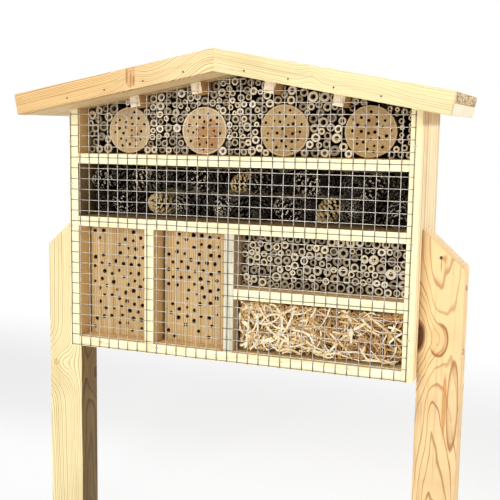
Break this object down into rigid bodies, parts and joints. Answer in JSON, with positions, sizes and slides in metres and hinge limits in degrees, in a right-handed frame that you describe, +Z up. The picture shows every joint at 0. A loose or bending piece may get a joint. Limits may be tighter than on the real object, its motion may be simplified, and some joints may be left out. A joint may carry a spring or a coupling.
{
  "type": "insect hotel",
  "caption": "Gabled wooden insect hotel on two bevelled posts, with log slices, canes, drilled blocks, cones and straw behind wire mesh.",
  "frame": {"origin": "on the ground, midway between the feet of the two posts", "axes": "+X to the right of the front view, +Y to the back, +Z up"},
  "size_m": [0.7612, 0.2688, 0.8788],
  "materials": {
    "case_wood": "planed raw softwood",
    "roof_wood": "planed raw softwood",
    "post_wood": "planed raw softwood",
    "block_wood": "sawn wood, drilled",
    "log_wood": "sawn end grain with bark, drilled",
    "cane": "cut dry reed and bamboo",
    "pine_cone": "dry cone scales",
    "straw": "loose dry straw",
    "mesh_steel": "galvanised wire",
    "fastener_steel": "zinc plated"
  },
  "bodies": {
    "root": {"bottom_board": "case_wood", "shelf_middle": "case_wood", "shelf_upper": "case_wood", "shelf_lower": "case_wood", "divider_left": "case_wood", "divider_right": "case_wood", "back_panel": "case_wood", "side_wall_front_left": "case_wood", "side_wall_front_right": "case_wood", "side_wall_rear_left": "case_wood", "side_wall_rear_right": "case_wood", "post_left": "post_wood", "roof_board_front_left": "roof_wood", "roof_board_rear_left": "roof_wood", "roof_cover_front_left": "roof_wood", "roof_cover_rear_left": "roof_wood", "roof_batten_inner_left": "roof_wood", "roof_batten_outer_left": "roof_wood", "fascia_left": "roof_wood", "fascia_nails_left": "fastener_steel", "drilled_block_left": "block_wood", "post_right": "post_wood", "roof_board_front_right": "roof_wood", "roof_board_rear_right": "roof_wood", "roof_cover_front_right": "roof_wood", "roof_cover_rear_right": "roof_wood", "roof_batten_inner_right": "roof_wood", "roof_batten_outer_right": "roof_wood", "fascia_right": "roof_wood", "fascia_nails_right": "fastener_steel", "drilled_block_right": "block_wood", "post_screws": "fastener_steel", "mesh_staples": "fastener_steel", "mesh_upright_wires": "mesh_steel", "mesh_cross_wires": "mesh_steel", "canes_upper": "cane", "canes_lower": "cane", "pine_cones": "pine_cone", "straw": "straw", "log_slice_1": "log_wood", "log_slice_2": "log_wood", "log_slice_3": "log_wood", "log_slice_4": "log_wood"}
  },
  "joints": []
}
